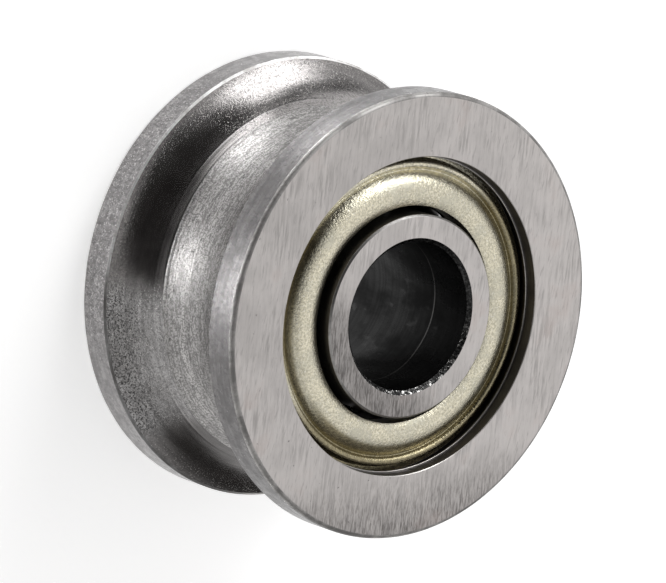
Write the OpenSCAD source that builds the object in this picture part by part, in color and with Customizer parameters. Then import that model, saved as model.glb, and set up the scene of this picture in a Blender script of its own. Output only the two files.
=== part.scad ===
// Grooved track roller: a wheel with a round groove that runs on a round rail,
// turning on its own double-row ball bearing. The spin axis is Z and the origin
// is the wheel's centre, so that the wheel lies on its flat end face.

/* [Wheel] */
// Diameter over the two rims
wheel_d = 15; // [13.5:0.1:18]
// Width over the flat end faces, the same for both rings
wheel_w = 8; // [7.8:0.1:12]
// Diameter of the round rail that the groove runs on
rail_d = 6; // [5:0.1:6.4]
// Radial clearance between the rail and the groove
rail_clearance = 0.05; // [0:0.01:0.15]
// Diameter at the bottom of the groove
floor_d = 11.3; // [10.8:0.1:12.6]
// Rounding of the rims' outer edges
rim_round = 0.18; // [0.05:0.01:0.4]
// Broken edge where the groove meets each rim
groove_break = 0.05; // [0.02:0.01:0.12]

/* [Inner ring] */
// Diameter of the bore that the axle passes through
bore_d = 5; // [4:0.1:5.4]
// Chamfer at both ends of the bore
bore_chamfer = 0.14; // [0.05:0.01:0.2]
// Diameter over the inner ring's shoulders
inner_d = 6.85; // [6.5:0.05:7]
// Broken outer edge of the inner ring's faces
inner_break = 0.06; // [0.02:0.01:0.1]

/* [Balls and raceways] */
// Diameter of the balls
ball_d = 1.588; // [1.4:0.002:1.6]
// Number of balls in each row
ball_count = 9; // [7:1:10]
// Distance between the two rows of balls
row_spacing = 3.3; // [3:0.05:3.5]
// Depth of the raceways below the rings' shoulders
race_depth = 0.26; // [0.18:0.01:0.28]
// Raceway radius as a share of the ball's diameter
race_conformity = 0.52; // [0.51:0.005:0.54]
// Play between a ball and each raceway
ball_play = 0.015; // [0.005:0.005:0.03]

/* [Cages] */
// Radial thickness of a cage
cage_wall = 0.5; // [0.3:0.02:0.6]
// Clearance of a ball in its pocket
pocket_clearance = 0.06; // [0.03:0.01:0.08]
// Metal left behind each pocket
cage_back = 0.2; // [0.12:0.02:0.3]
// How far the fingers reach past the ball's centre
finger_reach = 0.45; // [0.3:0.05:0.55]
// Width of the slot between two fingers
finger_slot = 0.5; // [0.3:0.05:0.6]

/* [Shields] */
// Diameter of the recess that each shield sits in
recess_d = 10.58; // [10.5:0.02:11.2]
// Depth of the recess's plain wall, down to the undercut
recess_lip = 0.42; // [0.3:0.01:0.6]
// Depth from the end face to the ledge that the shield rests on
seat_depth = 0.97; // [0.92:0.01:1.1]
// How far the undercut reaches behind the recess's wall
undercut = 0.2; // [0.16:0.01:0.25]
// Chamfer at the recess's mouth
mouth_chamfer = 0.09; // [0.02:0.01:0.12]
// Thickness of the pressed sheet
sheet_t = 0.1; // [0.08:0.01:0.12]
// Depth of the shield's crown below the end face
crown_depth = 0.3; // [0.2:0.01:0.32]
// Distance from the recess's wall in to the crown
crown_inset = 1.22; // [1.2:0.01:1.26]
// Radius of the domed part, at the sheet's middle
dome_r = 0.87; // [0.84:0.01:0.9]
// Height of the bead above the groove at the dome's foot
bead_rise = 0.385; // [0.37:0.005:0.42]
// Radius of the bead, at the sheet's middle
bead_r = 0.09; // [0.08:0.005:0.095]
// Smallest radius of the sheet's other bends, at its middle
bend_r = 0.08; // [0.07:0.005:0.085]

/* [Hidden] */
rows = ["front", "rear"];
balls = [for (row = rows) for (i = [1:ball_count]) str(row, "_ball_", i)];

$fn = 96;
over = 1;               // how far a cutting shape runs past the surface that it cuts
seat_play = 0.01;       // room between the shield's flange and the ledge under it
flange_play = 0.07;     // room between the shield's flange and the back of the undercut
lead = 0.02;            // straight sheet between two bends
dome_in = 26;           // slope of the dome's inner edge, in degrees
dome_out = 51;          // slope of the dome's foot
bead_in = 62;           // slope of the bead's inner side
bead_out = 78;          // slope of the bead's outer side

wheel_r = wheel_d / 2;
half_w = wheel_w / 2;
groove_r = rail_d / 2 + rail_clearance;
groove_centre_r = floor_d / 2 + groove_r;
rim_reach = max(groove_centre_r - wheel_r, 0);      // from the rims out to the groove's centre
mouth_half = sqrt(pow(groove_r, 2) - pow(rim_reach, 2));

bore_r = bore_d / 2;
inner_r = inner_d / 2;
ball_r = ball_d / 2;
row_z = row_spacing / 2;
race_r = race_conformity * ball_d;
inner_race_r = inner_r - race_depth;
pitch_r = inner_race_r + ball_play + ball_r;
outer_race_r = pitch_r + ball_r + ball_play;
shoulder_r = outer_race_r - race_depth;

pocket_r = ball_r + pocket_clearance;
ball_step = 360 / ball_count;

recess_r = recess_d / 2;
undercut_r = recess_r + undercut;

// A square corner less its quarter circle: what is cut away to round an outer edge at x, y.
module edge_round(x, y, r) {
    difference() {
        translate([x - r, y - r]) square(r + over);
        translate([x - r, y - r]) circle(r = r);
    }
}

// What is cut away to chamfer an edge at x, y whose metal lies towards dx, dy.
module edge_chamfer(x, y, c, dx, dy) {
    translate([x, y]) polygon([
        [dx * c, -dy * over], [-dx * over, -dy * over], [-dx * over, dy * c], [0, dy * c], [dx * c, 0]
    ]);
}

// Draws its children for the front end, and mirrored for the rear end.
module both_ends() {
    children();
    mirror([0, 1]) children();
}

// The stepped recess at one end: plain wall, undercut and the ledge that carries the shield.
module shield_recess() {
    translate([0, half_w - recess_lip]) square([recess_r, recess_lip + over]);
    translate([0, half_w - seat_depth]) square([undercut_r, seat_depth - recess_lip]);
    edge_chamfer(recess_r, half_w, mouth_chamfer, 1, -1);
}

// The round groove, which goes on straight above its centre where the rims are high.
module groove_section() {
    translate([groove_centre_r, 0]) {
        circle(r = groove_r);
        translate([0, -groove_r]) square([wheel_r, 2 * groove_r]);
    }
}

// The broken edge between the groove and the front rim.
module groove_edge() {
    translate([wheel_r, mouth_half]) polygon([
        [groove_break, 2 * groove_break], [-2 * groove_break, -groove_break], [groove_break, -groove_break]
    ]);
}

module grooved_wheel() {
    color([0.60, 0.59, 0.58]) rotate_extrude() difference() {
        translate([shoulder_r, -half_w]) square([wheel_r - shoulder_r, wheel_w]);
        groove_section();
        both_ends() {
            shield_recess();
            groove_edge();
            edge_round(wheel_r, half_w, rim_round);
            translate([outer_race_r - race_r, row_z]) circle(r = race_r);
        }
    }
}

module inner_ring() {
    color([0.64, 0.62, 0.61]) rotate_extrude() difference() {
        translate([bore_r, -half_w]) square([inner_r - bore_r, wheel_w]);
        both_ends() {
            edge_chamfer(bore_r, half_w, bore_chamfer, 1, -1);
            edge_chamfer(inner_r, half_w, inner_break, -1, -1);
            translate([inner_race_r + race_r, row_z]) circle(r = race_r);
        }
    }
}

// Points of a path's corner i rounded to radius r: the arc's centre lies on the corner's inner
// side, and its points are moved by side to give the sheet's left or right face.
function bend(path, i, r, side, steps = 8) =
    let (
        into = (path[i] - path[i - 1]) / norm(path[i] - path[i - 1]),
        out = (path[i + 1] - path[i]) / norm(path[i + 1] - path[i]),
        turn = into.x * out.y - into.y * out.x > 0 ? 1 : -1,
        angle = acos(into * out),
        left = [-into.y, into.x],
        centre = path[i] - into * r * tan(angle / 2) + left * turn * r,
        start = atan2(-left.y * turn, -left.x * turn),
        reach = r - side * turn
    )
    [for (k = [0:steps]) let (a = start + turn * angle * k / steps) centre + reach * [cos(a), sin(a)]];

// One face of a bent sheet: the path's ends moved square to it by side, and its rounded corners.
function sheet_face(path, radii, side) =
    let (
        last = len(path) - 1,
        first_dir = (path[1] - path[0]) / norm(path[1] - path[0]),
        last_dir = (path[last] - path[last - 1]) / norm(path[last] - path[last - 1])
    )
    concat(
        [path[0] + side * [-first_dir.y, first_dir.x]],
        [for (i = [1:last - 1]) each bend(path, i, radii[i - 1], side)],
        [path[last] + side * [-last_dir.y, last_dir.x]]
    );

function reversed(list) = [for (i = [len(list) - 1:-1:0]) list[i]];

// A step of so much length at an angle to the radius.
function step(length, angle) = length * [cos(angle), sin(angle)];

// The pressed shield: a dome round the inner ring, a groove at its foot, a bead, and a flange
// that lies on the ledge and reaches into the undercut.
module shield() {
    dome_z = half_w - crown_depth - sheet_t / 2 - dome_r;
    dome_corner = [recess_r - crown_inset, dome_z]
        + step(dome_r / cos((dome_in + dome_out) / 2), 90 - (dome_out - dome_in) / 2);
    dome_reach = dome_r * tan((dome_in + dome_out) / 2) + lead;
    groove = dome_corner + step(dome_reach + bend_r * tan((dome_out + bead_in) / 2), -dome_out);
    bead = groove + step(bead_rise / sin(bead_in), bead_in);
    flange_z = half_w - seat_depth + seat_play + sheet_t / 2;
    foot = bead + step((bead.y - flange_z) / sin(bead_out), -bead_out);
    path = [
        dome_corner - step(dome_reach, dome_in),
        dome_corner,
        groove,
        bead,
        foot,
        [undercut_r - flange_play, flange_z]
    ];
    radii = [dome_r, bend_r, bead_r, bend_r];
    color([0.82, 0.78, 0.60]) rotate_extrude()
        polygon(concat(sheet_face(path, radii, sheet_t / 2), reversed(sheet_face(path, radii, -sheet_t / 2))));
}

// The cage of the front row: a ring with ball pockets that open towards the wheel's middle,
// each held by two sprung fingers.
module cage() {
    ring_h = pocket_r + cage_back + finger_reach;
    color([0.74, 0.73, 0.70]) difference() {
        rotate_extrude() translate([pitch_r - cage_wall / 2, row_z - finger_reach]) square([cage_wall, ring_h]);
        for (i = [0:ball_count - 1]) {
            rotate([0, 0, i * ball_step]) translate([pitch_r, 0, row_z]) sphere(r = pocket_r);
            rotate([0, 0, (i + 0.5) * ball_step]) translate([pitch_r, 0, row_z - finger_reach]) {
                cube([cage_wall + over, finger_slot, finger_reach], center = true);
                translate([0, 0, finger_reach / 2]) rotate([0, 90, 0])
                    cylinder(d = finger_slot, h = cage_wall + over, center = true);
            }
        }
    }
}

module ball(i) {
    color([0.86, 0.86, 0.87]) rotate([0, 0, (i - 1) * ball_step]) translate([pitch_r, 0, row_z]) sphere(r = ball_r);
}

// The rear half mirrors the front one, turned by half a ball step.
module at_row(row) {
    if (row == "front") children();
    else rotate([0, 0, ball_step / 2]) mirror([0, 0, 1]) children();
}

grooved_wheel();
inner_ring();
for (row = rows) {
    at_row(row) shield();
    at_row(row) cage();
    for (i = [1:ball_count])
        at_row(row) ball(i);
}
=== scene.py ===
from math import asin, atan2, cos, degrees, pi, radians, sin, sqrt, tan
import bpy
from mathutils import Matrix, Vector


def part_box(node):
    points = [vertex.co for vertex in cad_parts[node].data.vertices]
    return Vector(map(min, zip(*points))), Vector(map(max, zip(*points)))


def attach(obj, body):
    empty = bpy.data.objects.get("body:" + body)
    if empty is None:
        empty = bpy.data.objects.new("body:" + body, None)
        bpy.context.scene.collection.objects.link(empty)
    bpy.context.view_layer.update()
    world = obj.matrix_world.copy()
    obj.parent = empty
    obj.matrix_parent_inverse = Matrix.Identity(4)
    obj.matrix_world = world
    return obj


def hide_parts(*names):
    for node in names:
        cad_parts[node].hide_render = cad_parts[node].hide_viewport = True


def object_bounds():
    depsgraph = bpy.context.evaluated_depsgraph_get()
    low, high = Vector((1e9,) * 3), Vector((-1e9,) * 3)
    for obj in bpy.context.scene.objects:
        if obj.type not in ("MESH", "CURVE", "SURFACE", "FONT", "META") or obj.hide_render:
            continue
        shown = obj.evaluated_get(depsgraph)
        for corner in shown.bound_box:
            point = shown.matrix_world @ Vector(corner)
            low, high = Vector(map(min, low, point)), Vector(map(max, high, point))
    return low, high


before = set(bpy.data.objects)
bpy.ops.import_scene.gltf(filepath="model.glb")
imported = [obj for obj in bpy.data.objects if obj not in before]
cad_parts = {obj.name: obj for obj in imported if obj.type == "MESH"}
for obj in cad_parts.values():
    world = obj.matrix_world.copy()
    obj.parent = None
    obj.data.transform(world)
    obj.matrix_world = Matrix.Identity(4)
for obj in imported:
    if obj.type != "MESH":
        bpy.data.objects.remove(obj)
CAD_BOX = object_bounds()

from types import SimpleNamespace

import bmesh
import bpy
from mathutils import Matrix, Vector

bl_info = {
    "name": "Grooved track roller",
    "version": (1, 0, 0),
    "blender": (4, 5, 0),
    "location": "3D View > Sidebar > Roller",
    "description": "Dresses the grooved wheel, its bearing and a plain studio",
    "category": "Object",
}

MM = 0.001                  # one millimetre in metres: sections are drawn in millimetres
TURN_STEPS = 320            # steps of a full turn
CORNER_STEPS = 4            # steps of a rounded corner
RIM_STEPS = 9               # steps of a rim's rounding
RACE_STEPS = 14             # steps of a raceway's arc
BEND_STEPS = 14             # steps of a bend in the pressed sheet
GROOVE_STEP = 1.6           # degrees of the groove's arc in one step
SUPPORT = 0.006             # plain metal kept beside each rounded corner, so flats shade flat
MERGE = 1e-5                # points nearer than this are one
FLAT = 0.002                # a face this near to a plane or cylinder lies on it
SHARP_ANGLE = radians(26)   # edges that turn more than this are creased

# The wheel's small forms, in millimetres.
GROOVE_BREAK = 0.03         # broken edge where the groove meets a rim
TRACK_Z = 1.52              # height at which the groove's flanks meet its running track
TOOL_MARKS = (              # height, half width and depth of the marks in the groove
    (1.80, 0.015, 0.0015), (TRACK_Z, 0.02, 0.003), (1.40, 0.015, 0.002),
    (0.62, 0.02, 0.003), (0.20, 0.02, 0.002))
MOUTH = 0.02                # chamfer at the recess's mouth
MOUTH_OUT = 0.085           # how far the mouth is wider than the recess
LIP = 0.07                  # thickness of the lip over the undercut
LIP_LEDGE = 0.055           # width of the step on top of the lip

# The shields' small forms, in millimetres and degrees.
SEAT_PLAY = 0.01            # room between a shield's flange and the ledge under it
FLANGE_REACH = 0.13         # how far the flange reaches under the lip
LEAD = 0.02                 # straight sheet inside the dome
CUT_EDGE = 0.02             # rounding of the sheet's cut edges
DOME_IN, DOME_OUT = radians(26), radians(51)    # slopes of the dome's inner edge and foot
BEAD_IN, BEAD_OUT = radians(62), radians(78)    # slopes of the bead's two sides


# ---------------------------------------------------------------- sizes and colours

def node_size(name):
    """Diameter and height of a CAD node, in metres."""
    low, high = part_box(name)
    return high.x - low.x, high.z - low.z


WHEEL_D, WHEEL_W = node_size("grooved_wheel")
RING_D = node_size("inner_ring")[0]


def length(label, about, default):
    return bpy.props.FloatProperty(
        name=label, description=about, default=default, unit="LENGTH", precision=5, min=0.0)


def tint(label, about, default):
    return bpy.props.FloatVectorProperty(
        name=label, description=about, default=default, subtype="COLOR", size=3, min=0.0, max=1.0)


class RollerSizes(bpy.types.PropertyGroup):
    wheel_d: length("Wheel diameter", "Diameter over the two rims", WHEEL_D)
    wheel_w: length("Wheel width", "Width over the end faces", WHEEL_W)
    groove_r: length("Groove radius", "Radius of the round groove's section", 3.05 * MM)
    floor_d: length("Groove floor", "Diameter at the bottom of the groove", 11.3 * MM)
    rim_round: length("Rim rounding", "Rounding of the rims' outer edges", 0.18 * MM)
    bore_d: length("Bore", "Diameter of the bore", 5.0 * MM)
    bore_chamfer: length("Bore chamfer", "Chamfer at both ends of the bore", 0.14 * MM)
    ring_d: length("Inner ring", "Diameter over the inner ring's shoulders", RING_D)
    ring_break: length("Ring edges", "Broken outer edges of the inner ring", 0.06 * MM)
    race_r: length("Raceway radius", "Radius of the raceways' section", 0.82576 * MM)
    wheel_race_x: length("Wheel raceway", "Axis to the centre of the wheel's raceway", 3.95724 * MM)
    ring_race_x: length("Ring raceway", "Axis to the centre of the ring's raceway", 3.99076 * MM)
    shoulder_r: length("Wheel shoulder", "Radius of the wheel beside its raceways", 4.523 * MM)
    row_z: length("Row height", "Height of each ball row above the middle", 1.65 * MM)
    recess_d: length("Recess", "Diameter of the recess that holds a shield", 10.58 * MM)
    recess_lip: length("Recess lip", "Depth of the recess's plain wall", 0.42 * MM)
    seat_depth: length("Seat depth", "Depth of the ledge that carries a shield", 0.97 * MM)
    undercut: length("Undercut", "Reach of the undercut behind the recess's wall", 0.20 * MM)
    sheet_t: length("Shield sheet", "Thickness of the pressed sheet", 0.10 * MM)
    crown_depth: length("Crown depth", "Depth of the shield's crown below the face", 0.30 * MM)
    crown_inset: length("Crown inset", "Distance from the recess's wall to the crown", 1.22 * MM)
    dome_r: length("Dome radius", "Radius of the shield's dome, at its middle", 0.87 * MM)
    bead_rise: length("Bead rise", "Height of the bead above the groove inside it", 0.385 * MM)
    bead_r: length("Bead radius", "Radius of the shield's bead, at its middle", 0.09 * MM)
    bend_r: length("Bend radius", "Radius of the sheet's other bends", 0.08 * MM)


class RollerColours(bpy.types.PropertyGroup):
    ground: tint("Ground steel", "End faces of both rings", (0.57, 0.545, 0.53))
    turned: tint("Turned steel", "Rims of the wheel", (0.33, 0.32, 0.32))
    track: tint("Track steel", "Bottom of the groove", (0.46, 0.448, 0.44))
    flank: tint("Flank steel", "Flanks of the groove", (0.348, 0.334, 0.329))
    edge: tint("Edge steel", "Rounded and broken edges", (0.80, 0.78, 0.76))
    # The bore's near black is oil and painted shade down the bore.
    bore: tint("Bore steel", "The oiled bore", (0.05, 0.05, 0.05))
    # The recess walls are painted darker than the faces, as shade in the recess.
    recess: tint("Recess steel", "The recess's dark walls", (0.165, 0.156, 0.154))
    # The shoulders' dark colour is oil and painted shade in the gap between the ring and the
    # shields.
    shoulder: tint("Shoulder steel", "The inner ring's oiled shoulders", (0.15, 0.14, 0.13))
    race: tint("Raceway steel", "Polished raceways", (0.62, 0.62, 0.62))
    plating: tint("Shield plating", "Pale yellow plating of the shields", (0.78, 0.735, 0.575))
    cage: tint("Cage steel", "Stamped cages", (0.50, 0.49, 0.46))
    ball: tint("Ball steel", "Polished balls", (0.72, 0.72, 0.73))
    paper: tint("Studio paper", "The floor", (0.88, 0.88, 0.88))


def in_millimetres(sizes):
    """The sizes under the same names, as plain numbers in millimetres."""
    return SimpleNamespace(**{name: getattr(sizes, name) / MM for name in sizes.__annotations__})


# ---------------------------------------------------------------- turned sections

class Section:
    """A half section of a turned piece, drawn in the XZ plane in millimetres."""

    def __init__(self, x, z):
        self.bm = bmesh.new()
        self.tip = self.bm.verts.new((x, 0.0, z))
        self.corners = []

    def line(self, x, z, rounding=0.0):
        """A straight line to x, z, whose corner is then rounded."""
        made = bmesh.ops.extrude_vert_indiv(self.bm, verts=[self.tip])
        self.tip = made["verts"][0]
        self.tip.co = (x, 0.0, z)
        if rounding:
            self.corners.append((self.tip, rounding))

    def arc(self, x, z, angle, steps):
        """An arc of so many degrees round x, z, counterclockwise where angle is positive."""
        made = bmesh.ops.spin(
            self.bm, geom=[self.tip], cent=(x, 0.0, z), axis=(0.0, -1.0, 0.0),
            angle=radians(angle), steps=steps, use_merge=False, use_duplicate=False)
        self.tip = next(g for g in made["geom_last"] if isinstance(g, bmesh.types.BMVert))

    def round_corners(self):
        """Rounds the corners, each with a little straight metal kept beside it."""
        for vert, radius in self.corners:
            before, after = (e.other_vert(vert) for e in vert.link_edges)
            turn = (vert.co - before.co).angle(after.co - vert.co)
            offset = radius * tan(turn / 2)
            for edge in list(vert.link_edges):
                share = (offset + SUPPORT) / edge.calc_length()
                if share < 0.95:
                    bmesh.utils.edge_split(edge, vert, share)
            bmesh.ops.bevel(
                self.bm, geom=[vert], offset=offset, offset_type="OFFSET", affect="VERTICES",
                segments=CORNER_STEPS, profile=0.5, material=-1)

    def bends(self, points):
        """Straight runs through points (x, z, radius), each but the last bent to its radius."""
        here = Vector((self.tip.co.x, self.tip.co.z))
        for (x, z, radius), after in zip(points, points[1:]):
            corner = Vector((x, z))
            into, out = (corner - here).normalized(), (Vector(after[:2]) - corner).normalized()
            turn = atan2(into.x * out.y - into.y * out.x, into.dot(out))
            start = corner - into * radius * tan(abs(turn) / 2)
            side = radius if turn > 0 else -radius
            self.line(*start)
            self.arc(start.x - into.y * side, start.y + into.x * side, degrees(turn), BEND_STEPS)
            here = Vector((self.tip.co.x, self.tip.co.z))
        self.line(*points[-1][:2])

    def mirror_halves(self):
        """Closes a section drawn from the middle plane back to it with its mirror image."""
        bmesh.ops.mirror(
            self.bm, geom=self.bm.verts[:] + self.bm.edges[:], matrix=Matrix.Identity(4),
            merge_dist=MERGE, axis="Z")

    def turn(self):
        """The section turned once round Z, merged where it closes."""
        bmesh.ops.spin(
            self.bm, geom=self.bm.verts[:] + self.bm.edges[:], cent=(0.0, 0.0, 0.0),
            axis=(0.0, 0.0, 1.0), angle=2 * pi, steps=TURN_STEPS, use_merge=True,
            use_duplicate=False)
        bmesh.ops.remove_doubles(self.bm, verts=self.bm.verts[:], dist=MERGE)
        bmesh.ops.recalc_face_normals(self.bm, faces=self.bm.faces[:])
        return self.bm


def finish_piece(bm, name, finishes, finish_of=None):
    """Makes a millimetre bmesh an object in metres, with a named finish chosen for each face.

    finish_of is given a face's radius, its height, and how far it faces away from the axle.
    """
    slots = list(finishes)
    for face in bm.faces:
        face.smooth = True
        if finish_of:
            centre = face.calc_center_median()
            ray = Vector((centre.x, centre.y))
            out = ray.normalized()
            facing = face.normal.x * out.x + face.normal.y * out.y
            face.material_index = slots.index(finish_of(ray.length, abs(centre.z), facing))
    for edge in bm.edges:
        if edge.is_manifold and edge.calc_face_angle() > SHARP_ANGLE:
            edge.smooth = False
    bmesh.ops.scale(bm, vec=(MM, MM, MM), verts=bm.verts[:])
    mesh = bpy.data.meshes.new(name)
    bm.to_mesh(mesh)
    bm.free()
    piece = bpy.data.objects.new(name, mesh)
    bpy.context.scene.collection.objects.link(piece)
    for finish in finishes.values():
        mesh.materials.append(finish)
    return piece


# ---------------------------------------------------------------- finishes

def direction(azimuth, elevation):
    """Unit vector at an azimuth counterclockwise from +X and an elevation, in degrees."""
    a, e = radians(azimuth), radians(elevation)
    return Vector((cos(e) * cos(a), cos(e) * sin(a), sin(e)))


class Nodes:
    """A node tree, built node by node."""

    def __init__(self, owner):
        owner.use_nodes = True
        self.tree = owner.node_tree
        self.tree.nodes.clear()

    def join(self, source, target):
        self.tree.links.new(source, target)

    def put(self, kind, inputs=None, **fields):
        """A node of this kind, whose inputs are set, or joined where they come from a node."""
        node = self.tree.nodes.new(kind)
        for field, value in fields.items():
            setattr(node, field, value)
        for key, value in (inputs or {}).items():
            if isinstance(value, bpy.types.NodeSocket):
                self.join(value, node.inputs[key])
            else:
                node.inputs[key].default_value = value
        return node

    def math(self, kind, *values):
        """A Math node of this kind on its values."""
        return self.put("ShaderNodeMath", dict(enumerate(values)), operation=kind).outputs[0]

    def times(self, first, second):
        return self.math("MULTIPLY", first, second)

    def most(self, first, second):
        return self.math("MAXIMUM", first, second)

    def less(self, first, second):
        return self.math("SUBTRACT", first, second)

    def split(self, vector):
        """The X, Y and Z of a vector."""
        return self.put("ShaderNodeSeparateXYZ", {0: vector}).outputs

    def unit(self, vector):
        return self.put("ShaderNodeVectorMath", {0: vector}, operation="NORMALIZE").outputs[0]

    def facing(self, vector, azimuth, elevation=0):
        """How far a vector runs along a direction."""
        return self.put("ShaderNodeVectorMath", {
            0: vector, 1: direction(azimuth, elevation)}, operation="DOT_PRODUCT").outputs["Value"]

    def spread(self, value, low, high, to_low=0.0, to_high=1.0):
        """Maps low..high to to_low..to_high with soft ends."""
        return self.put("ShaderNodeMapRange", {
            "Value": value, "From Min": low, "From Max": high, "To Min": to_low, "To Max": to_high},
            interpolation_type="SMOOTHSTEP").outputs[0]

    def mix(self, factor, first, second, blend="MIX"):
        """The second colour over the first, as far as factor says."""
        node = self.put("ShaderNodeMix", {0: factor}, data_type="RGBA", blend_type=blend)
        for socket, value in ((node.inputs[6], first), (node.inputs[7], second)):
            if isinstance(value, bpy.types.NodeSocket):
                self.join(value, socket)
            else:
                socket.default_value = (*value, 1.0)
        return node.outputs[2]


class Finish(Nodes):
    """A procedural finish on the piece's own Object coordinates."""

    def __init__(self, name, metallic=1.0):
        self.material = bpy.data.materials.new(name)
        super().__init__(self.material)
        self.shader = self.put("ShaderNodeBsdfPrincipled", {"Metallic": metallic})
        output = self.put("ShaderNodeOutputMaterial")
        self.join(self.shader.outputs[0], output.inputs["Surface"])
        self.here = self.put("ShaderNodeTexCoord").outputs["Object"]
        self.normal = None

    def noise(self, stretch, detail=2.0, rough=0.5, where=None, at=(0.0, 0.0, 0.0)):
        """Noise with so many features a millimetre along each axis."""
        scale = tuple(s / MM for s in stretch)
        moved = self.put("ShaderNodeMapping", {
            "Vector": where or self.here, "Location": at, "Scale": scale}).outputs[0]
        return self.put("ShaderNodeTexNoise", {
            "Vector": moved, "Scale": 1.0, "Detail": detail, "Roughness": rough}).outputs[0]

    def even_noise(self, a_mm, **settings):
        """Noise with so many features a millimetre, the same along all axes."""
        return self.noise((a_mm, a_mm, a_mm), **settings)

    def turned(self, heading):
        """Object coordinates whose X runs along a heading, in degrees from the wheel's X."""
        return self.put("ShaderNodeMapping", {
            "Vector": self.here, "Rotation": (0.0, 0.0, -radians(heading))}).outputs[0]

    def towards(self, azimuth, low, high):
        """From 0 to 1 between two distances from the axle towards an azimuth, in millimetres."""
        return self.spread(self.facing(self.here, azimuth), low * MM, high * MM)

    def around(self, azimuth, half, soft):
        """1 within so many degrees of an azimuth round the axle, 0 beyond, with a soft border."""
        flat = self.put("ShaderNodeVectorMath", {
            0: self.here, 1: (1.0, 1.0, 0.0)}, operation="MULTIPLY").outputs[0]
        return self.spread(self.facing(self.unit(flat), azimuth),
                           cos(radians(half + soft)), cos(radians(half - soft)))

    def height(self):
        """Height above the wheel's middle plane, in metres."""
        return self.split(self.here)[2]

    def from_middle(self):
        """Distance from the wheel's middle plane, in metres."""
        return self.math("ABSOLUTE", self.height())

    def from_axle(self):
        """Distance from the wheel's axis, in metres."""
        x, y, z = self.split(self.here)
        return self.math("SQRT", self.math("ADD", self.times(x, x), self.times(y, y)))

    def along_groove(self, centre_r, groove_r):
        """Object coordinates whose Z runs along the groove's curved section."""
        x, y, z = self.split(self.here)
        swing = self.math("ARCTAN2", z, self.less(centre_r, self.from_axle()))
        return self.put("ShaderNodeCombineXYZ", {
            0: x, 1: y, 2: self.times(swing, groove_r)}).outputs[0]

    def brushed_round(self, amount):
        """Stretches highlights along the axle, as tool lines that run round it do."""
        self.shader.inputs["Anisotropic"].default_value = amount
        axle = self.put("ShaderNodeCombineXYZ", {2: 1.0}).outputs[0]
        self.join(axle, self.shader.inputs["Tangent"])

    def tinted(self, factor, colour, tone):
        """The colour multiplied by a tone, as far as factor says, so that its grain stays."""
        return self.mix(factor, colour, tone, blend="MULTIPLY")

    def bump(self, height, distance):
        """Relief of so many millimetres, laid over what is there."""
        inputs = {"Height": height, "Distance": distance * MM}
        if self.normal:
            inputs["Normal"] = self.normal
        self.normal = self.put("ShaderNodeBump", inputs).outputs[0]

    def done(self, colour, roughness):
        """The finished material."""
        self.join(colour, self.shader.inputs["Base Color"])
        self.join(roughness, self.shader.inputs["Roughness"])
        self.join(self.normal, self.shader.inputs["Normal"])
        return self.material


def shade(colour, amount):
    return tuple(min(c * amount, 1.0) for c in colour)


def grey(level):
    return (level, level, level)


BROWN_STAIN = (0.50, 0.42, 0.39)
PAINTED_SHADE_TONE = (0.45, 0.42, 0.34)                # painted shade: how far the plating is darkened down by the recess's wall
DULL_PLATING, BRIGHT_PLATING = (0.56, 0.55, 0.46), (0.95, 0.93, 0.84)
# The second of these colours is for painted highlights on the bore's burrs.
FLECK, PAINTED_GLINT = (0.80, 0.77, 0.74), (0.85, 0.84, 0.82)
SCRATCH = (0.50, 0.49, 0.48)
PAINTED_SHEEN = (1.52, 1.56, 1.58)               # how much lighter painted sheen makes the pitted side of the flanks


def ground_steel(name, colour, roughness, heading, light_side, scored_side, drift,
                 at=(0.0, 0.0, 0.0)):
    """Surface-ground steel: short straight scratches, stains and a tone that drifts across it.

    light_side and scored_side are an azimuth and two distances towards it, in millimetres.
    """
    f = Finish(name)
    grind, cross = f.turned(heading), f.turned(heading - 9)
    lines = f.noise((0.75, 8.5, 0.5), detail=4.0, rough=0.62, where=grind, at=at)
    short = f.noise((1.7, 12.0, 0.5), detail=3.0, rough=0.6, where=cross, at=at)
    fine = f.noise((2.6, 15.0, 0.5), detail=3.0, rough=0.65, where=grind, at=at)
    patchy = f.noise((0.5, 0.8, 0.5), where=grind, at=at)
    stain = f.even_noise(0.55, detail=4.0, rough=0.6, at=at)
    pits = f.spread(f.even_noise(6.0, rough=0.6, at=at), 0.71, 0.77)
    light, scored = f.towards(*light_side), f.towards(*scored_side)
    lined = f.most(f.spread(patchy, 0.42, 0.66, 0.22, 0.72), scored)

    steel = f.mix(f.spread(stain, 0.36, 0.64), shade(colour, 0.94), shade(colour, 1.14))
    dark = f.mix(f.spread(lines, 0.32, 0.62), shade(colour, 0.40), shade(colour, 1.16))
    steel = f.mix(f.times(lined, 0.75), steel, dark)
    steel = f.mix(f.spread(short, 0.54, 0.68, 0.0, 0.50), steel, shade(colour, 0.58))
    fine = f.times(f.spread(fine, 0.46, 0.60), scored)
    steel = f.tinted(f.times(fine, 0.8), steel, SCRATCH)
    steel = f.mix(f.spread(stain, 0.55, 0.72, 0.0, 0.35), steel, BROWN_STAIN)
    steel = f.tinted(f.times(f.less(1.0, light), drift), steel, grey(0.62))
    steel = f.tinted(f.times(scored, 0.55), steel, grey(0.62))
    steel = f.mix(f.times(pits, 0.7), steel, shade(colour, 0.32))
    f.bump(lines, 0.0055)
    f.bump(short, 0.0030)
    f.bump(pits, -0.006)
    return f.done(steel, f.spread(lines, 0.35, 0.65, roughness - 0.05, roughness + 0.07))


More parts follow.
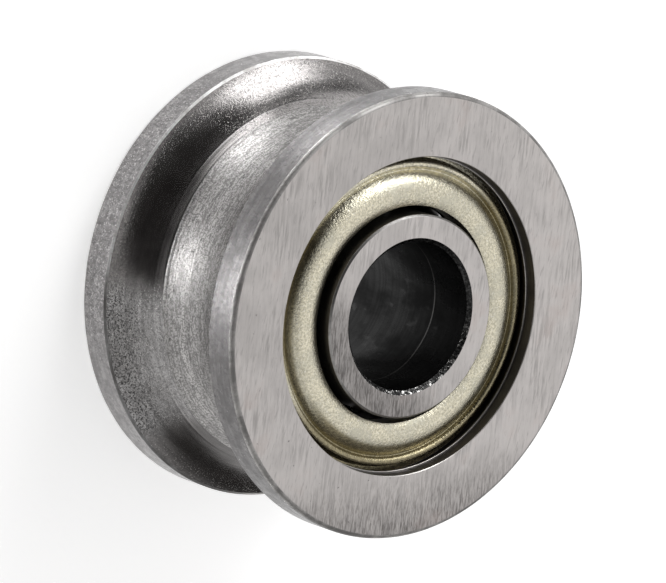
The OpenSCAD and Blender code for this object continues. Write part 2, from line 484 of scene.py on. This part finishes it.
def turned_steel(name, colour, roughness):
    """The wheel's rims: turned satin steel, blotchy from handling, with small nicks.

    The front rim is painted darker, as painted shade, and the rear rim is scuffed on one side.
    """
    f = Finish(name)
    f.brushed_round(0.20)
    foot, top = 2.7 * MM, 2.9 * MM      # heights between which the groove ends and a rim begins
    front, rear = f.spread(f.height(), foot, top), f.spread(f.height(), -foot, -top)
    lines = f.noise((0.5, 0.5, 8.0), detail=3.0, rough=0.6)
    blotch = f.even_noise(2.6, detail=5.0, rough=0.68)
    specks = f.even_noise(9.0, rough=0.65)
    nicks = f.spread(f.noise((2.4, 2.4, 1.3), detail=4.0, rough=0.7), 0.66, 0.73)
    ring = f.noise((0.03, 0.03, 1.6), detail=1.0, at=(0.0, 0.0, 3.1))
    scuffed = f.times(f.towards(262, 4.6, 6.6), rear)
    scuffs = f.noise((9.0, 9.0, 5.0), detail=3.0, rough=0.7, at=(5.0, 1.0, 2.0))
    scuffs = f.times(f.spread(scuffs, 0.46, 0.62), scuffed)
    grains = f.spread(f.even_noise(17.0, at=(1.0, 8.0, 2.0)), 0.58, 0.67)
    grains = f.times(grains, scuffed)

    steel = f.mix(f.spread(lines, 0.35, 0.65), shade(colour, 0.92), shade(colour, 1.20))
    steel = f.mix(f.spread(blotch, 0.38, 0.64, 0.0, 0.70), steel, shade(colour, 0.70))
    steel = f.mix(f.spread(specks, 0.50, 0.75, 0.0, 0.55), steel, shade(colour, 0.50))
    steel = f.mix(f.spread(ring, 0.60, 0.66, 0.0, 0.35), steel, shade(colour, 0.55))
    steel = f.mix(f.times(nicks, 0.65), steel, shade(colour, 0.38))
    steel = f.mix(f.times(scuffs, 0.60), steel, shade(colour, 0.42))
    steel = f.mix(f.times(grains, 0.6), steel, shade(colour, 2.4))
    # Painted shade: the front rim darkened, to dim the light that it mirrors.
    steel = f.tinted(front, steel, grey(0.54))
    f.bump(lines, 0.0030)
    f.bump(specks, 0.0035)
    f.bump(nicks, -0.007)
    return f.done(steel, f.spread(blotch, 0.3, 0.7, roughness - 0.05, roughness + 0.08))


def track_steel(name, colour, sizes):
    """The bottom of the groove: turned and grainy, with dark dashes along the tool lines."""
    f = Finish(name)
    f.brushed_round(0.30)
    where = f.along_groove(sizes.floor_d / 2 + sizes.groove_r, sizes.groove_r)
    lines = f.noise((0.35, 0.35, 9.0), detail=4.0, rough=0.65, where=where)
    dashes = f.noise((3.6, 3.6, 17.0), detail=3.0, rough=0.65, where=where)
    specks = f.even_noise(18.0, rough=0.7)
    cloud = f.noise((0.6, 0.6, 0.9), detail=3.0)
    pits = f.spread(f.noise((6.0, 6.0, 9.0), detail=3.0, rough=0.7), 0.62, 0.69)

    steel = f.mix(f.spread(lines, 0.34, 0.64), shade(colour, 0.70), shade(colour, 1.18))
    steel = f.mix(f.spread(cloud, 0.40, 0.72, 0.0, 0.35), steel, shade(colour, 0.76))
    steel = f.mix(f.spread(dashes, 0.47, 0.62, 0.0, 0.80), steel, shade(colour, 0.34))
    steel = f.mix(f.spread(specks, 0.46, 0.60, 0.0, 0.85), steel, shade(colour, 0.32))
    steel = f.mix(f.times(pits, 0.8), steel, shade(colour, 0.18))
    f.bump(lines, 0.0050)
    f.bump(dashes, 0.0035)
    f.bump(specks, 0.0035)
    f.bump(pits, -0.005)
    return f.done(steel, f.spread(cloud, 0.3, 0.7, 0.28, 0.36))


def flank_steel(name, colour):
    """The groove's flanks: smooth and dark, grainy near the rims, painted darker on one side as
    painted shade.

    Another side is pitted, and painted lighter as painted sheen.
    """
    f = Finish(name)
    # The second of these masks marks the side of the flanks that is painted darker, as painted
    # shade.
    wear_and_sheen, painted_dark_side = f.around(308, 22, 5), f.around(358, 22, 17)
    near_rims = f.spread(f.from_middle(), 2.25 * MM, 3.10 * MM)
    grainy = f.most(f.most(near_rims, f.around(203, 24, 9)), f.times(wear_and_sheen, 0.70))
    lines = f.noise((0.30, 0.30, 7.0), detail=3.0, rough=0.6)
    cloud = f.noise((0.7, 0.7, 0.9), detail=4.0, rough=0.6)
    specks = f.even_noise(14.0, rough=0.7)
    flecks = f.spread(f.even_noise(21.0, at=(4.0, 2.0, 1.0)), 0.62, 0.69)
    flecks = f.times(flecks, grainy)
    pits = f.spread(f.noise((16.0, 16.0, 18.0), rough=0.7), 0.50, 0.57)
    outside = f.spread(f.from_middle(), 1.7 * MM, 2.6 * MM)
    pits = f.times(pits, f.times(outside, f.most(wear_and_sheen, 0.12)))
    dashes = f.spread(f.noise((3.0, 3.0, 12.0), detail=3.0, rough=0.65), 0.48, 0.62)
    dashes = f.times(dashes, f.towards(310, 3.0, 7.0))

    steel = f.mix(f.spread(lines, 0.35, 0.65), shade(colour, 0.84), shade(colour, 1.12))
    # Painted sheen: the pitted side of the flanks lightened, as if it mirrored more light.
    steel = f.tinted(wear_and_sheen, steel, PAINTED_SHEEN)
    steel = f.mix(f.times(dashes, 0.40), steel, shade(colour, 0.50))
    steel = f.mix(f.spread(cloud, 0.38, 0.66, 0.0, 0.40), steel, shade(colour, 0.70))
    steel = f.mix(f.times(f.spread(specks, 0.48, 0.66, 0.0, 0.75), grainy), steel,
                  shade(colour, 0.30))
    # Painted shade: one side of the flanks darkened, where it should mirror a dark part of the
    # room.
    steel = f.tinted(painted_dark_side, steel, grey(0.42))
    steel = f.mix(f.times(pits, 0.85), steel, shade(colour, 0.14))
    steel = f.mix(f.times(flecks, 0.7), steel, FLECK)
    f.bump(lines, 0.0025)
    f.bump(f.times(specks, grainy), 0.0040)
    f.bump(flecks, 0.0050)
    f.bump(pits, -0.005)
    return f.done(steel, f.spread(cloud, 0.3, 0.7, 0.18, 0.26))


def clean_edge(name, colour, roughness, shaded_side=None):
    """Broken edges: thin bright metal, dulled here and there.

    The last argument is an azimuth, half of a length and its border, all in degrees: along that
    length the edge is painted darker, as painted shade.
    """
    f = Finish(name)
    dull = f.even_noise(0.9, detail=4.0, rough=0.65)
    specks = f.even_noise(10.0, rough=0.6)
    steel = f.mix(f.spread(dull, 0.38, 0.64), shade(colour, 1.10), shade(colour, 0.62))
    steel = f.mix(f.spread(specks, 0.52, 0.74, 0.0, 0.5), steel, shade(colour, 0.45))
    if shaded_side:
        # Painted shade: the edge darkened along one side, where it would catch a highlight.
        steel = f.tinted(f.around(*shaded_side), steel, grey(0.30))
    f.bump(dull, 0.004)
    f.bump(specks, 0.0025)
    return f.done(steel, f.spread(dull, 0.35, 0.65, roughness - 0.05, roughness + 0.10))


def burred_edge(name, colour):
    """The bore's chamfer: near black like the bore, with painted highlights on the burrs of one
    side.
    """
    f = Finish(name)
    burrs = f.noise((5.5, 5.5, 9.0), detail=3.0, rough=0.65)
    grains = f.even_noise(13.0, rough=0.6)
    # Painted highlights on the burrs of one side of the chamfer.
    painted_glints = f.times(f.spread(burrs, 0.52, 0.60), f.towards(20, 0.2, 1.6))
    steel = f.mix(f.spread(grains, 0.40, 0.65), shade(colour, 0.5), shade(colour, 1.8))
    steel = f.mix(painted_glints, steel, PAINTED_GLINT)
    f.bump(burrs, 0.045)
    f.bump(grains, 0.006)
    return f.done(steel, f.spread(burrs, 0.4, 0.6, 0.38, 0.24))


def smeared_lines(f, colour, lines_a_mm, smears, relief):
    """Faint lines round the axle under smears of oil: the colour, and the smears themselves."""
    lines = f.noise((0.12, 0.12, lines_a_mm), detail=3.0, rough=0.6)
    smear = f.noise((0.8, 0.8, 0.55), detail=4.0, rough=0.6)
    steel = f.mix(f.spread(lines, 0.35, 0.65), shade(colour, 0.82), shade(colour, 1.15))
    steel = f.mix(f.spread(smear, 0.40, 0.66, 0.0, smears), steel, shade(colour, 0.35))
    f.bump(lines, relief)
    f.bump(smear, relief * 4)
    return steel, smear


def smooth_steel(name, colour, roughness, lines_a_mm=7.0, relief=0.0012):
    """Ground or polished steel with faint lines round the axle and smears of oil."""
    f = Finish(name)
    steel, smear = smeared_lines(f, colour, lines_a_mm, 0.5, relief)
    return f.done(steel, f.spread(smear, 0.3, 0.7, roughness - 0.04, roughness + 0.12))


def shade_and_oil_bore(name, colour):
    """The bore: painted nearly black as shade down the bore, with oil smears, smears of light and
    one thin scratch round it.
    """
    f = Finish(name)
    steel, smear = smeared_lines(f, colour, 7.0, 0.9, 0.0012)
    blots = f.noise((1.6, 1.6, 1.1), detail=4.0, rough=0.6, at=(2.0, 6.0, 1.0))
    steel = f.mix(f.times(f.spread(blots, 0.58, 0.72), 0.6), steel, shade(colour, 2.4))
    wander = f.spread(f.noise((0.25, 0.25, 0.1)), 0.3, 0.7, -0.04 * MM, 0.04 * MM)
    height = f.math("ADD", f.from_middle(), wander)
    scratch = f.less(f.spread(height, 2.17 * MM, 2.20 * MM), f.spread(height, 2.22 * MM, 2.25 * MM))
    scratch = f.times(scratch, f.towards(80, -0.6, 1.4))
    steel = f.mix(f.times(scratch, 0.6), steel, SCRATCH)
    return f.done(steel, f.spread(smear, 0.3, 0.7, 0.22, 0.38))


def plated_sheet(name, colour):
    """Pressed sheet with a pale yellow plating: fine orange peel, bright specks, and painted shade
    outside.

    The bead and the flange are painted darker as shade, but for one side and a length along the top
    of the bead, and the outer side of the dome is painted darker near that length.
    """
    f = Finish(name)
    grain = f.even_noise(12.5, detail=3.0, rough=0.7)
    blotch = f.even_noise(1.3, detail=4.0, rough=0.6)
    bright = f.spread(f.even_noise(16.0, detail=1.0, at=(2.0, 5.0, 3.0)), 0.61, 0.69)
    radius = f.from_axle()
    # Painted shade is left out on one side and along a length of the bead's top, where the sheet
    # catches the light.
    lit_crest = f.times(f.spread(radius, 4.74 * MM, 4.88 * MM), f.towards(343, 3.3, 4.6))
    unshaded = f.less(1.0, f.most(f.towards(203, 2.9, 4.3), lit_crest))
    outside = f.times(f.spread(radius, 4.54 * MM, 4.68 * MM), unshaded)
    shaded_slope = f.times(f.spread(radius, 4.34 * MM, 4.50 * MM), f.towards(13, 2.4, 3.9))

    metal = f.mix(f.spread(grain, 0.32, 0.68), shade(colour, 0.66), shade(colour, 1.16))
    metal = f.mix(f.spread(blotch, 0.40, 0.68, 0.0, 0.55), metal, DULL_PLATING)
    metal = f.mix(f.times(bright, 0.5), metal, BRIGHT_PLATING)
    # Painted shade: the plating darkened outside the dome and on its outer side, down by the
    # recess's wall.
    metal = f.tinted(f.most(outside, shaded_slope), metal, PAINTED_SHADE_TONE)
    f.bump(grain, 0.0165)
    f.bump(blotch, 0.0120)
    return f.done(metal, f.spread(blotch, 0.3, 0.7, 0.20, 0.30))


# ---------------------------------------------------------------- operators

def dress_node(name, finish):
    """Gives a carried-over CAD node its finish."""
    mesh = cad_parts[name].data
    mesh.materials.clear()
    mesh.materials.append(finish)


def hand_over(piece, body, node):
    """Gives a piece its body, in place of a CAD node, which it hides."""
    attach(piece, body)
    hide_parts(node)


class ROLLER_OT_wheel(bpy.types.Operator):
    """Turn the grooved wheel with its recesses, raceways and groove"""
    bl_idname = "roller.wheel"
    bl_label = "Grooved wheel"

    def execute(self, context):
        s, c = context.scene.roller_sizes, context.scene.roller_colours
        mm = in_millimetres(s)
        wheel_r, half_w, recess_r = mm.wheel_d / 2, mm.wheel_w / 2, mm.recess_d / 2
        shoulder_r, race_r, race_x, row_z = mm.shoulder_r, mm.race_r, mm.wheel_race_x, mm.row_z
        race_half = sqrt(race_r ** 2 - (shoulder_r - race_x) ** 2)
        race_angle = degrees(atan2(race_half, shoulder_r - race_x))
        undercut_r, mouth_r = recess_r + mm.undercut, recess_r + MOUTH_OUT
        seat_z, step_z = half_w - mm.seat_depth, half_w - mm.recess_lip
        rim_round, groove_r = mm.rim_round, mm.groove_r
        centre_r = mm.floor_d / 2 + groove_r
        mouth_half = sqrt(groove_r ** 2 - (centre_r - wheel_r) ** 2)
        groove_top = mouth_half - GROOVE_BREAK

        # From the middle of the bore up its raceway and its recess to the end face.
        section = Section(shoulder_r, 0.0)
        section.line(shoulder_r, row_z - race_half)
        section.arc(race_x, row_z, 2 * race_angle, RACE_STEPS)
        section.line(shoulder_r, seat_z, 0.03)
        section.line(undercut_r, seat_z, 0.03)
        section.line(undercut_r, step_z - LIP, 0.02)
        section.line(recess_r, step_z - LIP, 0.015)
        section.line(recess_r, step_z, 0.02)
        section.line(recess_r + LIP_LEDGE, step_z, 0.01)
        section.line(mouth_r - MOUTH, half_w - MOUTH, 0.01)
        section.line(mouth_r, half_w, 0.01)

        # Out over the face, round the rim and down to the groove.
        section.line(wheel_r - rim_round - SUPPORT, half_w)
        section.line(wheel_r - rim_round, half_w)
        section.arc(wheel_r - rim_round, half_w - rim_round, -90, RIM_STEPS)
        section.line(wheel_r, half_w - rim_round - SUPPORT)
        section.line(wheel_r, mouth_half + GROOVE_BREAK, 0.02)
        section.line(centre_r - sqrt(groove_r ** 2 - groove_top ** 2), groove_top, 0.02)

        # Down the groove's arc from tool mark to tool mark, to the middle.
        angle = 180 - degrees(asin(groove_top / groove_r))
        for height, half_width, depth in TOOL_MARKS:
            swing, half = degrees(asin(height / groove_r)), degrees(half_width / groove_r)
            steps = max(2, round((180 - swing - angle) / GROOVE_STEP))
            section.arc(centre_r, 0.0, 180 - swing - half - angle, steps)
            deep = groove_r + depth
            section.line(centre_r - deep * cos(radians(swing)), deep * sin(radians(swing)))
            angle = 180 - swing + half
            section.line(centre_r + groove_r * cos(radians(angle)),
                         groove_r * sin(radians(angle)))
        section.arc(centre_r, 0.0, 180 - angle, 3)
        section.round_corners()
        section.mirror_halves()

        def finish_of(r, height, facing):
            if height > half_w - FLAT:
                return "face"
            if r > wheel_r - FLAT:
                return "rim"
            if facing > 0:
                if r > recess_r + 1 and height > half_w - rim_round - FLAT:
                    return "rounding"
                if height > groove_top - 0.01:
                    return "edge"
                return "flank" if height > TRACK_Z else "track"
            on_lip = step_z - LIP < height < step_z and r < recess_r + 0.02
            if on_lip or height > half_w - MOUTH - 0.005:
                return "recess_edge"
            return "recess" if height > row_z + race_half else "raceway"

        piece = finish_piece(section.turn(), "turned_wheel", {
            "face": ground_steel("ground_wheel_face", c.ground, roughness=0.36, heading=16,
                                 light_side=(90, -6.5, 4.0), scored_side=(20, 4.6, 7.2),
                                 drift=0.22),
            "rim": turned_steel("turned_rim", c.turned, 0.27),
            "flank": flank_steel("groove_flank", c.flank),
            # The wheel's edges get painted shade along one side.
            "edge": clean_edge("wheel_edges", shade(c.edge, 1.2), 0.52, shaded_side=(325, 42, 9)),
            "recess": smooth_steel("recess_wall", c.recess, 0.40),
            "raceway": smooth_steel("wheel_raceway", c.race, 0.14),
            "track": track_steel("groove_track", c.track, s),
            "recess_edge": clean_edge("recess_edges", shade(c.edge, 0.80), 0.36),
            # A darker copy of the edge steel: painted shade that dims the rounding's highlight.
            "rounding": clean_edge("rim_rounding", shade(c.edge, 0.48), 0.50),
        }, finish_of)
        hand_over(piece, "wheel", "grooved_wheel")
        return {"FINISHED"}


class ROLLER_OT_ring(bpy.types.Operator):
    """Turn the inner ring with its bore and raceways"""
    bl_idname = "roller.ring"
    bl_label = "Inner ring"

    def execute(self, context):
        s, c = context.scene.roller_sizes, context.scene.roller_colours
        mm = in_millimetres(s)
        bore_r, ring_r, half_w = mm.bore_d / 2, mm.ring_d / 2, mm.wheel_w / 2
        chamfer, edge_break = mm.bore_chamfer, mm.ring_break
        race_r, race_x, row_z = mm.race_r, mm.ring_race_x, mm.row_z
        race_half = sqrt(race_r ** 2 - (race_x - ring_r) ** 2)
        race_angle = degrees(atan2(race_half, race_x - ring_r))

        section = Section(bore_r, 0.0)
        section.line(bore_r, half_w - chamfer, 0.03)
        section.line(bore_r + chamfer, half_w, 0.025)
        section.line(ring_r - edge_break, half_w, 0.02)
        section.line(ring_r, half_w - edge_break, 0.02)
        section.line(ring_r, row_z + race_half)
        section.arc(race_x, row_z, 2 * race_angle, RACE_STEPS)
        section.line(ring_r, 0.0)
        section.round_corners()
        section.mirror_halves()

        def finish_of(r, height, facing):
            if height > half_w - FLAT:
                return "face"
            if height > half_w - chamfer:
                return "edge" if r > bore_r + chamfer + 0.1 else "bore_chamfer"
            if facing < 0 and r < bore_r + 0.01:
                return "bore"
            return "shoulder" if height > row_z + race_half else "raceway"

        piece = finish_piece(section.turn(), "turned_inner_ring", {
            "face": ground_steel("ground_ring_face", c.ground, roughness=0.36, heading=16,
                                 light_side=(158, -2.1, -0.7), scored_side=(335, 0.5, 2.6),
                                 drift=0.55, at=(3.0, 7.0, 0.0)),
            # A darker copy of the edge steel: painted shade that dims the ring edges' highlight.
            "edge": clean_edge("ring_edges", shade(c.edge, 0.60), 0.34),
            "bore": shade_and_oil_bore("shade_and_oil_bore", c.bore),
            "shoulder": smooth_steel("ring_shoulder", c.shoulder, 0.34),
            "raceway": smooth_steel("ring_raceway", c.race, 0.14),
            "bore_chamfer": burred_edge("bore_chamfer", c.bore),
        }, finish_of)
        hand_over(piece, "inner_ring", "inner_ring")
        return {"FINISHED"}


class ROLLER_OT_shields(bpy.types.Operator):
    """Press the two shields: a dome, the groove at its foot, a bead and a flange, in one sheet"""
    bl_idname = "roller.shields"
    bl_label = "Shields"

    def execute(self, context):
        s, c = context.scene.roller_sizes, context.scene.roller_colours
        mm = in_millimetres(s)
        half_w, recess_r, sheet_half = mm.wheel_w / 2, mm.recess_d / 2, mm.sheet_t / 2
        flange_z = half_w - mm.seat_depth + SEAT_PLAY + sheet_half
        dome_centre = Vector((recess_r - mm.crown_inset,
                              half_w - mm.crown_depth - sheet_half - mm.dome_r))

        def step(run, angle):
            return Vector((run * cos(angle), run * sin(angle)))

        # The corners that the bends round off, along the middle of the sheet.
        dome_bend = DOME_IN + DOME_OUT
        dome = dome_centre + step(mm.dome_r / cos(dome_bend / 2), (pi - DOME_OUT + DOME_IN) / 2)
        reach = mm.dome_r * tan(dome_bend / 2) + LEAD
        groove = dome + step(reach + mm.bend_r * tan((DOME_OUT + BEAD_IN) / 2), -DOME_OUT)
        bead = groove + step(mm.bead_rise / sin(BEAD_IN), BEAD_IN)
        foot = bead + step((bead.y - flange_z) / sin(BEAD_OUT), -BEAD_OUT)
        flange = Vector((recess_r + FLANGE_REACH, flange_z))
        inner_edge = dome - step(reach, DOME_IN)
        corners = ((dome, mm.dome_r), (groove, mm.bend_r), (bead, mm.bead_r), (foot, mm.bend_r),
                   (flange, 0))

        finish = plated_sheet("yellow_plating", c.plating)
        for row, side in (("front", 1), ("rear", -1)):
            section = Section(inner_edge.x, side * inner_edge.y)
            section.bends([(x, side * z, radius) for (x, z), radius in corners])
            piece = finish_piece(section.turn(), f"pressed_{row}_shield", {"sheet": finish})
            sheet = piece.modifiers.new("sheet", "SOLIDIFY")
            sheet.thickness, sheet.offset, sheet.use_even_offset = s.sheet_t, 0.0, True
            edges = piece.modifiers.new("cut_edges", "BEVEL")
            edges.width, edges.segments, edges.limit_method = CUT_EDGE * MM, 2, "ANGLE"
            edges.angle_limit, edges.harden_normals = radians(60), True
            hand_over(piece, "wheel", f"{row}_shield")
        return {"FINISHED"}


class ROLLER_OT_rows(bpy.types.Operator):
    """Give the cages and the balls of both rows their finishes"""
    bl_idname = "roller.rows"
    bl_label = "Cages and balls"

    def execute(self, context):
        c = context.scene.roller_colours
        cage = smooth_steel("stamped_cage", c.cage, 0.34, lines_a_mm=5.0, relief=0.002)
        ball = smooth_steel("polished_ball", c.ball, 0.10, lines_a_mm=2.0, relief=0.0003)
        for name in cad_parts:
            if name.endswith("_cage"):
                dress_node(name, cage)
            elif "_ball_" in name:
                dress_node(name, ball)
        return {"FINISHED"}


# ---------------------------------------------------------------- studio

FLOOR_Z = CAD_BOX[0][2]
PAPER_GLOW = 0.55           # light of the paper's own, where it is seen or mirrored
BOX_AWAY = 0.50             # distance of the soft boxes, in metres
POOL_LAMP_HEIGHT = 0.15     # height of the spot lamps above the paper, in metres
POOL_LAMP_R = 0.004         # radius of the spot lamps
POOL_BORDER = 0.30          # soft share of a pool


def add_lamp(name, kind, matrix, energy, **fields):
    """A lamp whose energy is in watts."""
    data = bpy.data.lights.new(name, kind)
    data.energy = energy
    for field, value in fields.items():
        setattr(data, field, value)
    lamp = bpy.data.objects.new(name, data)
    bpy.context.scene.collection.objects.link(lamp)
    lamp.matrix_world = matrix


def soft_box(name, azimuth, elevation, wide, high, radiance):
    """An area lamp that faces the wheel, as bright as radiance says."""
    towards = direction(azimuth, elevation)
    facing = towards.to_track_quat("Z", "Y").to_matrix().to_4x4()
    add_lamp(name, "AREA", Matrix.Translation(towards * BOX_AWAY) @ facing,
             radiance * pi * wide * high, shape="RECTANGLE", size=wide, size_y=high)


def floor_pool(name, azimuth, away, long, wide, radiance):
    """A spot lamp above the paper beside the wheel: an oval pool of light that the groove mirrors.

    away, long and wide are the pool's distance and its two half lengths, in millimetres.
    """
    middle = direction(azimuth, 0) * away * MM
    place = Matrix.Translation((middle.x, middle.y, FLOOR_Z + POOL_LAMP_HEIGHT))
    oval = Matrix.Rotation(radians(azimuth), 4, "Z") @ Matrix.Diagonal((1.0, wide / long, 1.0, 1.0))
    add_lamp(name, "SPOT", place @ oval, radiance * 4 * pi * pi * POOL_LAMP_HEIGHT ** 2,
             spot_size=2 * atan2(long * MM, POOL_LAMP_HEIGHT), spot_blend=POOL_BORDER,
             shadow_soft_size=POOL_LAMP_R)


class ROLLER_OT_stage(bpy.types.Operator):
    """Set up the paper floor, the room, the soft boxes, the pools of light and the camera"""
    bl_idname = "roller.stage"
    bl_label = "Studio"

    def execute(self, context):
        scene = context.scene
        scene.view_settings.view_transform = "Standard"
        self.floor(scene)
        self.room(scene)
        soft_box("high_box", azimuth=166, elevation=33, wide=0.24, high=0.24, radiance=4.8)
        soft_box("left_box", azimuth=206, elevation=4, wide=0.42, high=0.07, radiance=3.0)
        soft_box("near_box", azimuth=281, elevation=3, wide=0.17, high=0.05, radiance=3.0)
        floor_pool("left_pool", azimuth=211, away=25.0, long=11.5, wide=6.2, radiance=6.6)
        floor_pool("near_pool", azimuth=279, away=24.0, long=10.5, wide=5.2, radiance=7.6)
        self.camera(scene)
        return {"FINISHED"}

    def floor(self, scene):
        """A sheet of paper under the wheel, far wider than the view."""
        bm = bmesh.new()
        bmesh.ops.create_grid(bm, x_segments=2, y_segments=2, size=2.0)
        bmesh.ops.translate(bm, vec=(0.0, 0.0, FLOOR_Z), verts=bm.verts[:])
        mesh = bpy.data.meshes.new("paper_floor")
        bm.to_mesh(mesh)
        bm.free()
        mesh.materials.append(self.paper(scene.roller_colours.paper))
        floor = bpy.data.objects.new("paper_floor", mesh)
        scene.collection.objects.link(floor)

    def paper(self, colour):
        """White paper with a little light of its own, so that it shows white with a soft shadow."""
        f = Finish("studio_paper", metallic=0.0)
        seen = f.put("ShaderNodeLightPath").outputs
        glow = f.most(seen["Is Camera Ray"],
                      f.most(seen["Is Glossy Ray"], seen["Is Transmission Ray"]))
        f.shader.inputs["Roughness"].default_value = 0.9
        f.shader.inputs["Specular IOR Level"].default_value = 0.0
        f.shader.inputs["Base Color"].default_value = (*colour, 1.0)
        f.shader.inputs["Emission Color"].default_value = (1.0, 1.0, 1.0, 1.0)
        f.join(f.times(glow, PAPER_GLOW), f.shader.inputs["Emission Strength"])
        return f.material

    def room(self, scene):
        """The room round the wheel: plain grey, pale overhead, with dark corners for the metal."""
        scene.world = bpy.data.worlds.new("studio_room")
        f = Nodes(scene.world)
        ray = f.unit(f.put("ShaderNodeTexCoord").outputs["Generated"])
        x, y, z = f.split(ray)
        turn, rise = f.math("ARCTAN2", y, x), f.math("ARCSINE", z)

        def band(value, low, high, soft, soft_end=None):
            """1 between two angles in degrees, with soft borders."""
            end = soft_end or soft
            start = f.spread(value, radians(low - soft), radians(low + soft))
            return f.less(start, f.spread(value, radians(high - end), radians(high + end)))

        def patch(azimuth, elevation, inner, outer):
            """1 near a direction, fading from one angle from it to another."""
            return f.spread(f.facing(ray, azimuth, elevation),
                            cos(radians(outer)), cos(radians(inner)))

        light = f.mix(patch(90, 55, 15, 60), grey(0.62), (0.86, 0.85, 0.85))
        light = f.mix(band(turn, -66, 6, 6), light, (0.54, 0.535, 0.53))
        corner = f.times(band(turn, 6, 74, 13, 8), band(rise, -20, 31, 6))
        light = f.mix(corner, light, (0.10, 0.095, 0.09))
        low_side = f.math("ADD", band(turn, 133, 200, 6), band(turn, -200, -173, 3))
        low_side = f.times(low_side, band(rise, -10, 14, 3))
        light = f.mix(low_side, light, grey(0.10))
        behind = f.times(band(turn, -174, -63, 3, 5), band(rise, 9, 73, 3, 6))
        light = f.mix(behind, light, (0.02, 0.019, 0.018))
        sky = f.put("ShaderNodeBackground", {"Color": light, "Strength": 1.0})
        f.join(sky.outputs[0], f.put("ShaderNodeOutputWorld").inputs["Surface"])

    def camera(self, scene):
        """A long lens that looks down on the wheel from in front, rolled so the axle lies level."""
        away, aim = 0.26596, Vector((-0.03, -0.054, -0.036)) * MM
        roll = radians(107.45)
        data = bpy.data.cameras.new("studio_camera")
        data.lens, data.sensor_width, data.sensor_fit = 432.4, 36.0, "HORIZONTAL"
        data.clip_start, data.clip_end = 0.01, 10.0
        camera = bpy.data.objects.new("studio_camera", data)
        scene.collection.objects.link(camera)
        scene.camera = camera

        place = direction(270, 48.95) * away
        back = (place - aim).normalized()
        level = Vector((0.0, 0.0, 1.0)).cross(back).normalized()
        right = level * cos(roll) + back.cross(level) * sin(roll)
        camera.matrix_world = Matrix.Translation(place) @ Matrix(
            (right, back.cross(right), back)).transposed().to_4x4()


class ROLLER_PT_panel(bpy.types.Panel):
    """Lists the roller's pieces and its sizes and colours"""
    bl_idname = "ROLLER_PT_panel"
    bl_label = "Track roller"
    bl_space_type = "VIEW_3D"
    bl_region_type = "UI"
    bl_category = "Roller"

    def draw(self, context):
        for operator in OPERATORS:
            self.layout.operator(operator.bl_idname)
        for group in (context.scene.roller_sizes, context.scene.roller_colours):
            box = self.layout.box()
            for name in group.__annotations__:
                box.prop(group, name)


OPERATORS = (ROLLER_OT_wheel, ROLLER_OT_ring, ROLLER_OT_shields, ROLLER_OT_rows, ROLLER_OT_stage)
CLASSES = (RollerSizes, RollerColours, *OPERATORS, ROLLER_PT_panel)


def register():
    for cls in CLASSES:
        bpy.utils.register_class(cls)
    bpy.types.Scene.roller_sizes = bpy.props.PointerProperty(type=RollerSizes)
    bpy.types.Scene.roller_colours = bpy.props.PointerProperty(type=RollerColours)


def unregister():
    del bpy.types.Scene.roller_colours
    del bpy.types.Scene.roller_sizes
    for cls in reversed(CLASSES):
        bpy.utils.unregister_class(cls)


def main():
    register()
    for step in (bpy.ops.roller.wheel, bpy.ops.roller.ring, bpy.ops.roller.shields,
                 bpy.ops.roller.rows, bpy.ops.roller.stage):
        step()


if __name__ == "__main__":
    main()
